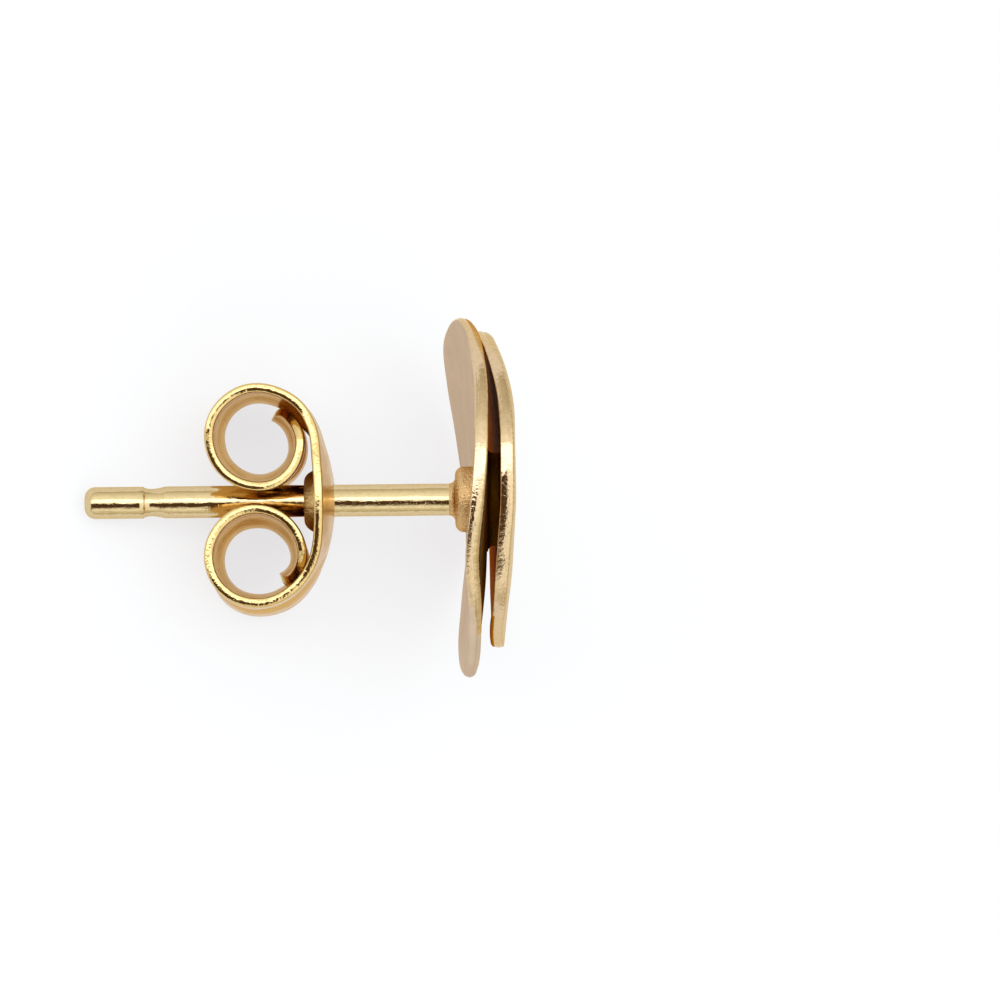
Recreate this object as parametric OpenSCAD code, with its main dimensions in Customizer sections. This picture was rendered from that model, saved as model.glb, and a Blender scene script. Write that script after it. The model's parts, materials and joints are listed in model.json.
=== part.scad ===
// Stud earring: two domed, hand-shaped gold discs on an ear post, with a butterfly clutch.
// The discs, the post and its pad are soldered into one solid, and the clutch slides on the post.
// Inside each module X runs along the post towards the face, Y is up across the face,
// and Z is to the left as seen from the front. X = 0 is the back of the back disc.
// at_rest() then lays the whole earring on the ground as it lies by itself.

/* [Post] */
// Diameter of the post wire
post_d = 0.9; // [0.8:0.05:1]
// Length from the back disc to the tip of the post
post_len = 10.95; // [10:0.05:13]
// Corner radius of the rounded tip
nose_r = 0.3; // [0.1:0.05:0.35]
// Distance from the tip to the near end of the clutch notch
notch_from_tip = 1.65; // [1:0.05:1.8]
// Length of the clutch notch
notch_len = 0.62; // [0.4:0.02:0.8]
// Depth of the clutch notch
notch_depth = 0.065; // [0.03:0.005:0.1]
// Diameter of the solder pad at the foot of the post
pad_d = 1.84; // [1.76:0.02:2.2]
// Thickness of the solder pad
pad_thick = 0.54; // [0.3:0.02:0.6]
// Radius of the solder fillet between the pad and the post
pad_fillet = 0.17; // [0.05:0.01:0.2]

/* [Discs] */
// Sheet thickness of the back disc
back_sheet = 0.37; // [0.3:0.01:0.42]
// Sheet thickness of the front disc
front_sheet = 0.38; // [0.3:0.01:0.45]
// Space between the two discs at the middle
disc_space = 0.41; // [0.38:0.01:0.6]
// Diameter of the solder joint between the discs
joint_d = 2.6; // [1.6:0.1:3]

/* [Clutch] */
// Sheet thickness of the clutch strip
strip_sheet = 0.24; // [0.2:0.01:0.25]
// Width of the plate at the post
plate_w = 4.8; // [4.2:0.1:5.2]
// Width of the strip where the scrolls begin
arm_w = 4; // [3.6:0.1:4.2]
// Width of the strip at the inner end of a scroll
tip_w = 3.5; // [3:0.1:3.8]
// Length over which the inner end of a scroll is rounded like a tongue
tip_round = 1.4; // [0.8:0.1:1.8]
// Height of the rib pressed along both scrolls
rib_h = 0.26; // [0.2:0.01:0.28]
// How far the middle of the plate is dished towards the disc
plate_dish = 0.29; // [0.1:0.01:0.32]
// Radial clearance of the plate's hole on the post
hole_clearance = 0.03; // [0.01:0.01:0.06]
// Diameter of the domed collar where it leaves the plate
collar_d = 1.9; // [1.7:0.05:2.1]
// Length of the collar
collar_len = 0.64; // [0.4:0.02:0.7]
// Distance from the back disc to the edge of the plate
clutch_back = 4.31; // [3.8:0.01:4.6]

/* [Hidden] */

$fn = 64;
gold = "#C9A86A";
post_r = post_d / 2;

// Turn of the whole earring about its post, at which both scrolls of the clutch touch the ground.
rest_roll = -0.31;

// Rim of each disc, a row every 20 degrees, anticlockwise from three o'clock as seen from the front.
// Columns: angle, radius, how far the sheet bends back there, how far its margin bends back
// beyond that (a minus sign is a lip that curls forward).
RADIUS = 1;
BEND = 2;
MARGIN = 3;
back_rim = [
    [  0, 4.98,  0.34,  0.00],
    [ 20, 4.99,  0.53,  0.00],
    [ 40, 5.08,  0.78,  0.00],
    [ 60, 5.07,  0.86,  0.00],
    [ 80, 5.09,  0.62,  0.00],
    [100, 5.08,  0.34,  0.00],
    [120, 5.05,  0.09,  0.00],
    [140, 5.06, -0.03,  0.00],
    [160, 5.15, -0.04,  0.00],
    [180, 5.01,  0.08,  0.00],
    [200, 4.85,  0.25,  0.00],
    [220, 4.89,  0.31, -0.15],
    [240, 4.96,  0.34, -0.13],
    [260, 5.00,  0.44, -0.09],
    [280, 4.97,  0.54, -0.10],
    [300, 5.07,  0.64, -0.14],
    [320, 5.11,  0.53, -0.06],
    [340, 5.06,  0.29,  0.00]
];
front_rim = [
    [  0, 4.43,  0.42,  0.03],
    [ 20, 4.64,  0.48,  0.05],
    [ 40, 4.68,  0.55,  0.08],
    [ 60, 4.62,  0.62,  0.12],
    [ 80, 4.72,  0.58,  0.18],
    [100, 4.68,  0.50,  0.13],
    [120, 4.66,  0.27,  0.14],
    [140, 4.60,  0.04,  0.12],
    [160, 4.65, -0.01,  0.06],
    [180, 4.38,  0.01,  0.05],
    [200, 4.26,  0.14,  0.03],
    [220, 4.36,  0.27,  0.02],
    [240, 4.18,  0.38,  0.01],
    [260, 4.18,  0.39,  0.00],
    [280, 4.11,  0.38,  0.00],
    [300, 4.21,  0.37,  0.00],
    [320, 4.24,  0.35,  0.03],
    [340, 4.29,  0.38,  0.03]
];
// The straight part of the back disc's rim: its direction, and its distance from the middle.
flat_angle = 9;
flat_out = 4.9;
// How late the bend of each disc sets in from middle to rim, and where its margin begins.
back_curve = 2.2;
front_curve = 1.6;
back_margin = 0.8;
front_margin = 0.86;
disc_steps = 72;
ring_shares = [0.22, 0.42, 0.6, 0.74, 0.84, 0.92, 1];

// Bends of the clutch strip, walked from the middle of the plate to the inner end of a scroll
// in steps of no more than bend_step degrees and longest_chord millimetres.
// Columns: bend radius, bend angle.
upper_arm = [[11.98, 8.6], [1.57, 81.4], [1.37, 180], [1.16, 156]];
lower_arm = [[11.98, 6], [2.13, 36], [1.6, 48], [1.31, 180], [1.3, 82], [0.83, 80]];
// Slope of each scroll across the strip's width, because hand-rolled scrolls aren't quite square.
upper_lean = 1.2;
lower_lean = 4.8;
bend_step = 9;
longest_chord = 0.62;
strip_steps = 10;
// The rib's half width, and how far from the middle it starts, reaches its full height
// and the plate's dish and extra width have died out.
rib_half_w = 1.1;
rib_start = 1.2;
rib_full = 2.6;
dish_reach = 2.8;

// Smooth closed curve through column c of a rim table, at any angle.
function through(p, q, r, s, f) =
    q + 0.5 * f * (r - p + f * (2 * p - 5 * q + 4 * r - s + f * (3 * q - 3 * r + s - p)));
function rim(rows, c, angle) =
    let(n = len(rows), t = n + angle * n / 360, i = floor(t))
    through(rows[(i - 1) % n][c], rows[i % n][c], rows[(i + 1) % n][c], rows[(i + 2) % n][c], t - i);

// Radius of a rim, cut straight at the flat, which the front disc is too small to reach.
function outline(rows, angle) =
    min(rim(rows, RADIUS, angle), flat_out / max(0.5, cos(angle - flat_angle)));

// Point of a disc at a share of its radius, lifted along the post.
function disc_point(rows, curve, margin, share, angle, lift) =
    let(r = share * outline(rows, angle),
        edge = pow(max(0, share - margin) / (1 - margin), 2),
        set_back = rim(rows, BEND, angle) * pow(share, curve) + rim(rows, MARGIN, angle) * edge)
    [lift - set_back, r * sin(angle), -r * cos(angle)];

function disc_points(rows, curve, margin, lift) =
    concat([[lift, 0, 0]],
        [for (share = ring_shares)
            for (k = [0 : disc_steps - 1])
                disc_point(rows, curve, margin, share, k * 360 / disc_steps, lift)]);

// One shaped disc: a domed sheet with the same form on both faces.
module disc(rows, curve, margin, lift, sheet) {
    n = disc_steps;
    rings = len(ring_shares);
    size = 1 + rings * n;
    function at(side, ring, k) = side * size + 1 + ring * n + k % n;
    function quad(a, b, c, d) = [[a, b, c], [a, c, d]];
    polyhedron(
        points = concat(
            disc_points(rows, curve, margin, lift),
            disc_points(rows, curve, margin, lift + sheet)),
        faces = concat(
            [for (k = [0 : n - 1]) [0, at(0, 0, k), at(0, 0, k + 1)]],
            [for (k = [0 : n - 1]) [size, at(1, 0, k + 1), at(1, 0, k)]],
            [for (ring = [0 : rings - 2])
                for (k = [0 : n - 1])
                    for (f = concat(
                        quad(at(0, ring, k), at(0, ring + 1, k), at(0, ring + 1, k + 1), at(0, ring, k + 1)),
                        quad(at(1, ring, k), at(1, ring, k + 1), at(1, ring + 1, k + 1), at(1, ring + 1, k))))
                        f],
            [for (k = [0 : n - 1])
                for (f = quad(at(0, rings - 1, k), at(1, rings - 1, k),
                        at(1, rings - 1, k + 1), at(0, rings - 1, k + 1)))
                    f]),
        convexity = 6);
}

// Walk along tangent arcs that all turn left. Each station is [x, y, heading, distance].
function left_of(heading) = [-sin(heading), cos(heading)];
function walk(arcs, i = 0, at = [0, 0], heading = 90, gone = 0) =
    i == len(arcs) ? [] :
    let(r = arcs[i][0],
        turn = arcs[i][1],
        long = r * turn * PI / 180,
        steps = ceil(max(turn / bend_step, long / longest_chord)),
        centre = at + r * left_of(heading))
    concat(
        [for (k = [1 : steps])
            let(h = heading + turn * k / steps, p = centre - r * left_of(h))
            [p.x, p.y, h, gone + long * k / steps]],
        walk(arcs, i + 1, centre - r * left_of(heading + turn), heading + turn, gone + long));

function ease(t) = let(c = min(1, max(0, t))) c * c * (3 - 2 * c);
// Offset of the strip's middle surface towards the inside of the scrolls, across its width.
function pressed(gone, v, half_w) =
    rib_h * ease((gone - rib_start) / (rib_full - rib_start))
        * (abs(v) < rib_half_w ? pow(cos(90 * v / rib_half_w), 2) : 0)
    - plate_dish * ease(1 - gone / dish_reach) * (1 - pow(v / half_w, 2));
function tongue(gone, total) =
    sqrt(1 - 0.985 * pow(max(0, 1 - (total - gone) / tip_round), 2));
function half_width(gone, total) =
    tongue(gone, total) * (arm_w + (tip_w - arm_w) * max(0, gone - dish_reach) / (total - dish_reach)
        + (plate_w - arm_w) * ease(1 - gone / dish_reach)) / 2;

// Cross-section of the strip at one station: outside face one way, inside face back.
function strip_ring(station, total, side, lean) =
    let(gone = station[3],
        half_w = half_width(gone, total),
        n = left_of(station[2]))
    [for (face = [-1, 1])
        for (j = [0 : strip_steps])
            let(v = -face * half_w * (2 * j / strip_steps - 1),
                d = pressed(gone, v, half_w) + face * strip_sheet / 2)
            [station[0] + n.x * d - clutch_back,
                side * (station[1] + n.y * d) + tan(lean) * v * ease(gone / rib_full),
                v]];

function last(list) = list[len(list) - 1];
upper_walk = walk(upper_arm);
lower_walk = walk(lower_arm);
strip_rings = concat(
    [for (i = [len(lower_walk) - 1 : -1 : 0])
        strip_ring(lower_walk[i], last(lower_walk)[3], -1, lower_lean)],
    [strip_ring([0, 0, 90, 0], last(upper_walk)[3], 1, 0)],
    [for (s = upper_walk) strip_ring(s, last(upper_walk)[3], 1, upper_lean)]);

// Closed sweep through rings that run out along one face of a strip and back along the other.
module sweep(rings) {
    n = len(rings[0]);
    m = len(rings);
    half = n / 2;
    function quad(a, b, c, d) = [[a, b, c], [a, c, d]];
    polyhedron(
        points = [for (ring = rings) for (p = ring) p],
        faces = [
            for (j = [0 : half - 2]) for (f = quad(n - 1 - j, n - 2 - j, j + 1, j)) f,
            for (j = [0 : half - 2])
                let(b = (m - 1) * n)
                for (f = quad(b + j, b + j + 1, b + n - 2 - j, b + n - 1 - j))
                    f,
            for (i = [0 : m - 2])
                for (j = [0 : n - 1])
                    let(a = i * n + j, b = i * n + (j + 1) % n)
                    for (f = quad(a, b, b + n, a + n))
                        f
        ],
        convexity = 8);
}

module along_post() {
    rotate([0, 90, 0]) children();
}

// How the earring lies: on the rim of the back disc and the far edge of both scrolls,
// or on the tip of the post if the clutch is too narrow to touch the ground.
front_lift = back_sheet + disc_space;
back_edge = [for (k = [0 : disc_steps - 1])
    disc_point(back_rim, back_curve, back_margin, 1, k * 360 / disc_steps, 0)];
far_edge = [for (ring = strip_rings) for (p = ring) if (p.z < -tip_w / 2) p];
function rolled(p) =
    [p.x, p.y * cos(rest_roll) - p.z * sin(rest_roll), p.y * sin(rest_roll) + p.z * cos(rest_roll)];
nose = [nose_r - post_len, 0, nose_r - post_r];
far_edge_rolled = [for (p = far_edge) rolled(p)];
function tilt_on(p) =
    let(run = p.x - nose.x, drop = nose.z - p.z)
    drop > 0
        ? min(atan2(drop, run) - asin(nose_r / norm([run, drop])),
            min([for (q = far_edge_rolled) atan2(q.z - p.z, p.x - q.x)]))
        : 0;
rest_tilt = max([for (p = back_edge) tilt_on(rolled(p))]);
function tilted(p) =
    [p.y, p.z * sin(rest_tilt) - p.x * cos(rest_tilt), p.x * sin(rest_tilt) + p.z * cos(rest_tilt)];

// The box round the earring as it lies, whose middle is put over the origin.
disc_box = [for (p = concat(
        disc_points(back_rim, back_curve, back_margin, 0),
        disc_points(back_rim, back_curve, back_margin, back_sheet),
        disc_points(front_rim, front_curve, front_margin, front_lift + front_sheet)))
    tilted(rolled(p))];
far_y = tilted([nose.x, 0, -nose.z]).y + nose_r;
middle = [
    (max([for (p = disc_box) p.x]) + min([for (p = disc_box) p.x])) / 2,
    (min([for (p = disc_box) p.y]) + far_y) / 2,
    min([for (p = back_edge) tilted(rolled(p)).z])];

module at_rest() {
    translate(-middle)
        rotate([-rest_tilt, 0, 0])
            rotate([0, 0, -90])
                rotate([rest_roll, 0, 0])
                    children();
}

module front_disc() {
    disc(front_rim, front_curve, front_margin, front_lift, front_sheet);
}

module back_disc() {
    disc(back_rim, back_curve, back_margin, 0, back_sheet);
}

// Solder that holds the two discs together, sunk halfway into both sheets.
module disc_joint() {
    translate([back_sheet / 2, 0, 0])
        along_post() cylinder(d = joint_d, h = back_sheet / 2 + disc_space + front_sheet / 2);
}

// Outline of the post turned about its axis: tip, notch, wire, solder fillet and pad.
module post_outline() {
    corner = 0.24;
    pad_r = pad_d / 2;
    sunk = back_sheet / 2;
    polygon(concat(
        [[0, -post_len]],
        [for (t = [0 : 15 : 90]) [post_r - nose_r * (1 - sin(t)), nose_r * (1 - cos(t)) - post_len]],
        [for (f = [0 : 0.125 : 1])
            [post_r - notch_depth * sin(180 * pow(f, 0.7)), notch_from_tip + notch_len * f - post_len]],
        [for (t = [0 : 15 : 90])
            [post_r + pad_fillet * (1 - cos(t)), pad_fillet * (sin(t) - 1) - pad_thick]],
        [for (t = [0 : 15 : 90])
            [pad_r - corner * (1 - sin(t)), corner * (1 - cos(t)) - pad_thick]],
        [[pad_r, sunk], [0, sunk]]));
}

module post() {
    along_post() rotate_extrude() post_outline();
}

module stud() {
    color(gold) at_rest() union() {
        front_disc();
        disc_joint();
        back_disc();
        post();
    }
}

// Domed collar where the plate's hole is pressed through towards the scrolls.
module collar() {
    end_r = post_r + hole_clearance + 0.07;
    base_r = collar_d / 2;
    rotate_extrude()
        polygon(concat(
            [[0, -collar_len]],
            [for (t = [0 : 15 : 90])
                [end_r + (base_r - end_r) * sin(t), -collar_len * cos(t)]],
            [[base_r, strip_sheet / 2], [0, strip_sheet / 2]]));
}

module butterfly_clutch() {
    plate_mid = plate_dish - clutch_back;
    drill = 4;
    color(gold) at_rest() difference() {
        union() {
            sweep(strip_rings);
            translate([plate_mid - strip_sheet / 2, 0, 0]) along_post() collar();
        }
        translate([plate_mid - drill / 2, 0, 0])
            along_post() cylinder(r = post_r + hole_clearance, h = drill);
    }
}

stud();
butterfly_clutch();
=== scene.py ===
"""Looks of a gold stud earring: two hand-formed discs, the ear post and its butterfly clutch."""

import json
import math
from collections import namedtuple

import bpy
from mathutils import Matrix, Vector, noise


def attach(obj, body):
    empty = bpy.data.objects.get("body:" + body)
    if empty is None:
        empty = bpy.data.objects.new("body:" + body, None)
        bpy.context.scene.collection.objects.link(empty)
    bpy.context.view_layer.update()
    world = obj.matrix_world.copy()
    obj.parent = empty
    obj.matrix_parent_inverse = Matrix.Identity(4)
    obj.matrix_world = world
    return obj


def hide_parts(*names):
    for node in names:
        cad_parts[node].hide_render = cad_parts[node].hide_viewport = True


bl_info = {
    "name": "Double disc stud earring",
    "version": (1, 0, 0),
    "blender": (4, 5, 0),
    "location": "3D View > Sidebar > Earring",
    "description": "Builds a gold stud earring of two brushed discs, with its post and butterfly clutch",
    "category": "Object",
}

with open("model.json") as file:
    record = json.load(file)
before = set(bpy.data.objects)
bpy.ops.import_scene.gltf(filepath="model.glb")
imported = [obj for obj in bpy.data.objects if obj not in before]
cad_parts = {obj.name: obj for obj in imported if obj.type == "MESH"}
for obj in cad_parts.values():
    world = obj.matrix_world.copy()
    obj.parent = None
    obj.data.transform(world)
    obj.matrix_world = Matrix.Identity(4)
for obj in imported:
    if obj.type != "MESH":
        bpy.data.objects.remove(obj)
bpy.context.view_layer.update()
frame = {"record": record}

MM = 0.001

# The stud's own frame. Places in it are (along, up, left) in millimetres: along the post towards
# the face, up across the face, and to the left as seen from the front, all from the middle of
# the back disc's back. The earring lies turned by REST_ROLL about its post.
REST_ROLL = math.radians(-0.31)
POST_LENGTH = 10.95
NOSE_RADIUS = 0.3
NOTCH_FROM_TIP = 1.65
POST_END = next(m for m in frame["record"]["mounts"] if m["name"] == "post_end")
ALONG = -Vector(POST_END["axis"]).normalized()
FLAT_LEFT = ALONG.cross(Vector((1, 0, 0)))
UP = Vector((1, 0, 0)) * math.cos(REST_ROLL) + FLAT_LEFT * math.sin(REST_ROLL)
LEFT = ALONG.cross(UP)
POST_END_ALONG = (NOSE_RADIUS + NOTCH_FROM_TIP) / 2 - POST_LENGTH
STUD_ORIGIN = Vector(POST_END["pos_m"]) - ALONG * POST_END_ALONG * MM
STUD_AXES = Matrix((ALONG, UP, LEFT))

# Rim of each disc, a row every 20 degrees, anticlockwise from three o'clock as seen from the
# front: radius, how far the sheet bends back there, and how far its margin bends back beyond that.
Rim = namedtuple("Rim", "angle radius bend margin")
BACK_RIM = (
    Rim(0, 4.98, 0.34, 0.00),
    Rim(20, 4.99, 0.53, 0.00),
    Rim(40, 5.08, 0.78, 0.00),
    Rim(60, 5.07, 0.86, 0.00),
    Rim(80, 5.09, 0.62, 0.00),
    Rim(100, 5.08, 0.34, 0.00),
    Rim(120, 5.05, 0.09, 0.00),
    Rim(140, 5.06, -0.03, 0.00),
    Rim(160, 5.15, -0.04, 0.00),
    Rim(180, 5.01, 0.08, 0.00),
    Rim(200, 4.85, 0.25, 0.00),
    Rim(220, 4.89, 0.31, -0.15),
    Rim(240, 4.96, 0.34, -0.13),
    Rim(260, 5.00, 0.44, -0.09),
    Rim(280, 4.97, 0.54, -0.10),
    Rim(300, 5.07, 0.64, -0.14),
    Rim(320, 5.11, 0.53, -0.06),
    Rim(340, 5.06, 0.29, 0.00),
)
FRONT_RIM = (
    Rim(0, 4.43, 0.42, 0.03),
    Rim(20, 4.64, 0.48, 0.05),
    Rim(40, 4.68, 0.55, 0.08),
    Rim(60, 4.62, 0.62, 0.12),
    Rim(80, 4.72, 0.58, 0.18),
    Rim(100, 4.68, 0.50, 0.13),
    Rim(120, 4.66, 0.27, 0.14),
    Rim(140, 4.60, 0.04, 0.12),
    Rim(160, 4.65, -0.01, 0.06),
    Rim(180, 4.38, 0.01, 0.05),
    Rim(200, 4.26, 0.14, 0.03),
    Rim(220, 4.36, 0.27, 0.02),
    Rim(240, 4.18, 0.38, 0.01),
    Rim(260, 4.18, 0.39, 0.00),
    Rim(280, 4.11, 0.38, 0.00),
    Rim(300, 4.21, 0.37, 0.00),
    Rim(320, 4.24, 0.35, 0.03),
    Rim(340, 4.29, 0.38, 0.03),
)

# The straight part of the back disc's rim: its direction, and its distance from the middle.
FLAT_ANGLE = 9
FLAT_OUT = 4.9

# Bends of the clutch strip, from the middle of the plate to the inner end of each scroll.
Bend = namedtuple("Bend", "radius turn")
UPPER_ARM = (Bend(11.98, 8.6), Bend(1.57, 81.4), Bend(1.37, 180), Bend(1.16, 156))
LOWER_ARM = (
    Bend(11.98, 6),
    Bend(2.13, 36),
    Bend(1.6, 48),
    Bend(1.31, 180),
    Bend(1.3, 82),
    Bend(0.83, 80),
)


def colour_of(hex_code):
    """Turns an sRGB hex value to linear red, green and blue."""
    parts = [int(hex_code[i : i + 2], 16) / 255 for i in (1, 3, 5)]
    return tuple(c / 12.92 if c <= 0.04045 else ((c + 0.055) / 1.055) ** 2.4 for c in parts)


def length_prop(name, description, millimetres):
    """A length that is shown in the scene's own units."""
    return bpy.props.FloatProperty(
        name=name,
        description=description,
        default=millimetres * MM,
        min=0.0,
        precision=5,
        subtype="DISTANCE",
        unit="LENGTH",
    )


def colour_prop(name, description, hex_code):
    """A colour picked in the panel."""
    return bpy.props.FloatVectorProperty(
        name=name,
        description=description,
        default=colour_of(hex_code),
        min=0.0,
        max=1.0,
        size=3,
        subtype="COLOR",
    )


class EarringSizes(bpy.types.PropertyGroup):
    """Sizes of the earring's sheet, wire and edges."""

    back_sheet: length_prop("Back disc sheet", "Thickness of the back disc", 0.37)
    front_sheet: length_prop("Front disc sheet", "Thickness of the front disc", 0.38)
    disc_space: length_prop("Disc space", "Space between the discs at the middle", 0.41)
    joint: length_prop("Solder joint", "Diameter of the joint between the discs", 2.6)
    post: length_prop("Post", "Diameter of the post wire", 0.9)
    pad: length_prop("Pad", "Diameter of the solder pad", 1.84)
    pad_thick: length_prop("Pad thickness", "Thickness of the solder pad", 0.54)
    strip: length_prop("Clutch strip", "Thickness of the clutch's strip", 0.24)
    edge: length_prop("Edge rounding", "Radius that filing leaves on the discs' edges", 0.045)


class EarringFinishes(bpy.types.PropertyGroup):
    """Colours of the gold's finishes and of the floor."""

    polished: colour_prop("Polished gold", "18 ct gold polished to a mirror", "#DABF9B")
    wire: colour_prop("Wire gold", "18 ct gold drawn to wire, a little greener", "#D8C094")
    clutch: colour_prop("Clutch gold", "18 ct gold of the clutch, a deeper yellow", "#DBBD83")
    # The rolled faces' own gold, deepened past the edges' gold to paint the saturated reflection of gold
    # in gold inside the scrolls.
    sheet: colour_prop("Sheet gold", "18 ct gold of the clutch's rolled faces", "#D2A860")
    collar: colour_prop("Collar gold", "18 ct gold left as pressed round the hole", "#F4D89A")
    brushed: colour_prop("Brushed gold", "18 ct gold brushed by hand", "#DFC397")
    satin: colour_prop("Satin gold", "18 ct gold left matt from fine emery", "#D8C3AB")
    pad: colour_prop("Pad gold", "18 ct gold round the solder, a little redder", "#D9B380")
    # The gold between the discs, deepened and darkened to paint the shade there and the reflection of
    # gold in gold.
    deep: colour_prop("Painted gap shade", "Gold deepened and darkened to paint the shade and the gold-in-gold reflection between the discs", "#C48C1E")
    floor: colour_prop("Floor", "White acrylic of the light table", "#F8F9FD")


def place(along, up, left):
    """A place in the stud's own frame, as a point in metres."""
    return STUD_ORIGIN + (ALONG * along + UP * up + LEFT * left) * MM


def ease(t):
    """0 below 0, 1 above 1, and a soft step between."""
    t = min(1.0, max(0.0, t))
    return t * t * (3 - 2 * t)


def ripple(point, size, height, seed):
    """Height of a smooth random ripple with bumps of a size, all in millimetres."""
    shifted = Vector(point) / size + Vector((seed, 2.3 * seed, -1.7 * seed))
    return noise.noise(shifted) * height


def new_piece(name, points, faces, finishes, finish_of_face=None):
    """A mesh piece from points in metres and faces, with a finish for each face."""
    mesh = bpy.data.meshes.new(name)
    mesh.from_pydata([tuple(p) for p in points], [], faces)
    for finish in finishes:
        mesh.materials.append(finish)
    if finish_of_face:
        mesh.polygons.foreach_set("material_index", finish_of_face)
    mesh.shade_smooth()
    mesh.validate()
    piece = bpy.data.objects.new(name, mesh)
    bpy.context.scene.collection.objects.link(piece)
    return piece


def settle(piece, body, node):
    """Makes a piece ride on its body and stand for its CAD node."""
    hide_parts(node)
    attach(piece, body)


# Finishes

# Marks in the metal: how many come to the millimetre along, up and left, how deep they are in
# millimetres, how fine and how rough their detail is, how much they waver, and the values of
# their pattern, low and high, that are the foot and the top of the relief. Where share is given,
# it fades them.
Marks = namedtuple(
    "Marks", "count depth detail rough waver low high share", defaults=(2, 0.5, 0, 0, 1, None)
)

# File marks that were left in: the way in the stud's own frame that they come in, and the places
# along it, in millimetres, between which the polish gives way to them.
Filed = namedtuple("Filed", "direction smooth_from filed_from depth")
RIM_FILED = Filed((0.0, -1.0, 0.0), -0.9, 0.1, 0.016)
WIRE_DRAWN = Filed((0.0, -1.0, 0.0), 0.0, 0.08, 0.006)
STRIP_SHEARED = Filed((0.0, -0.7, 0.7), 0.6, 2.6, 0.012)

# Polishing scratches to the millimetre along, up and left, on each polished part.
RIM_SCRATCHES = (9.0, 2.2, 2.2)
WIRE_SCRATCHES = (3.0, 9.0, 9.0)
EDGE_SCRATCHES = (5.0, 5.0, 5.0)

# How a value goes from least to most as a pattern rises from low to high.
Blend = namedtuple("Blend", "pattern low high least most")

# Tint that polished gold keeps where it is seen along its surface, and that of rolled sheet.
WARM_GLANCE = colour_of("#F3E5C5")
SHEET_GLANCE = colour_of("#FFF3E2")

# A Mix node has several sockets of each name. These are the ones for colours.
MIX_A, MIX_B, MIX_COLOUR = 6, 7, 2


def add_node(tree, kind, settings=None, links=None):
    """Adds a shader node, sets its sockets and fields, and links nodes or sockets into it. A
    link from None is left out."""
    node = tree.nodes.new(kind)
    for key, value in (settings or {}).items():
        if isinstance(key, int) or key in node.inputs:
            node.inputs[key].default_value = value
        else:
            setattr(node, key, value)
    for key, source in (links or {}).items():
        if source is not None:
            socket = source.outputs[0] if isinstance(source, bpy.types.Node) else source
            tree.links.new(socket, node.inputs[key])
    return node


def stud_place(tree, stretch=(1, 1, 1)):
    """Where a point is in the stud's own frame, in millimetres, stretched along its axes."""
    where = add_node(tree, "ShaderNodeTexCoord").outputs["Object"]
    to_stud = add_node(
        tree,
        "ShaderNodeMapping",
        {
            "Location": -(STUD_AXES @ STUD_ORIGIN) / MM,
            "Rotation": STUD_AXES.to_euler(),
            "Scale": (1 / MM,) * 3,
        },
        {"Vector": where},
    )
    return add_node(
        tree, "ShaderNodeVectorMath", {"operation": "MULTIPLY", 1: stretch}, {0: to_stud}
    )


def press_marks(tree, *kinds, place_of=stud_place, under=None):
    """Presses kinds of marks into the metal, one over another and over the relief under them.
    Gives the pattern of each kind, and then the relief that they make together. A kind with no
    depth gives only its pattern."""
    patterns = []
    relief = under
    for marks in kinds:
        pattern = add_node(
            tree,
            "ShaderNodeTexNoise",
            {
                "Scale": 1.0,
                "Detail": marks.detail,
                "Roughness": marks.rough,
                "Distortion": marks.waver,
            },
            {"Vector": place_of(tree, marks.count)},
        )
        patterns.append(pattern)
        if not marks.depth:
            continue
        height = add_node(
            tree,
            "ShaderNodeMapRange",
            {"From Min": marks.low, "From Max": marks.high},
            {"Value": pattern},
        )
        faded = add_node(
            tree, "ShaderNodeMath", {"operation": "MULTIPLY", 1: 1.0}, {0: height, 1: marks.share}
        )
        relief = add_node(
            tree,
            "ShaderNodeBump",
            {"Distance": marks.depth * MM},
            {"Height": faded, "Normal": relief},
        )
    return *patterns, relief


def blend_looks(tree, tone, roughness):
    """Colour and roughness of a metal, each from its own blend."""
    mixed = add_node(
        tree,
        "ShaderNodeMapRange",
        {"From Min": tone.low, "From Max": tone.high},
        {"Value": tone.pattern},
    )
    colour = add_node(
        tree,
        "ShaderNodeMix",
        {"data_type": "RGBA", MIX_A: (*tone.least, 1.0), MIX_B: (*tone.most, 1.0)},
        {0: mixed},
    )
    rough = add_node(
        tree,
        "ShaderNodeMapRange",
        {
            "From Min": roughness.low,
            "From Max": roughness.high,
            "To Min": roughness.least,
            "To Max": roughness.most,
        },
        {"Value": roughness.pattern},
    )
    return colour.outputs[MIX_COLOUR], rough


def new_finish(name):
    """An empty finish and the tree that it is drawn in."""
    finish = bpy.data.materials.new(name)
    finish.use_nodes = True
    finish.node_tree.nodes.clear()
    return finish, finish.node_tree


def show_metal(tree, glance, colour, rough, relief):
    """Ends a finish as bare metal. glance is the tint that the metal keeps where it is seen
    along its surface."""
    metal = add_node(
        tree,
        "ShaderNodeBsdfPrincipled",
        {"Metallic": 1.0, "Specular Tint": (*glance, 1.0)},
        {"Base Color": colour, "Roughness": rough, "Normal": relief},
    )
    add_node(tree, "ShaderNodeOutputMaterial", links={"Surface": metal})


def shade_of(colour, share):
    """A darker or lighter shade of a colour."""
    return tuple(min(1.0, c * share) for c in colour)


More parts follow.
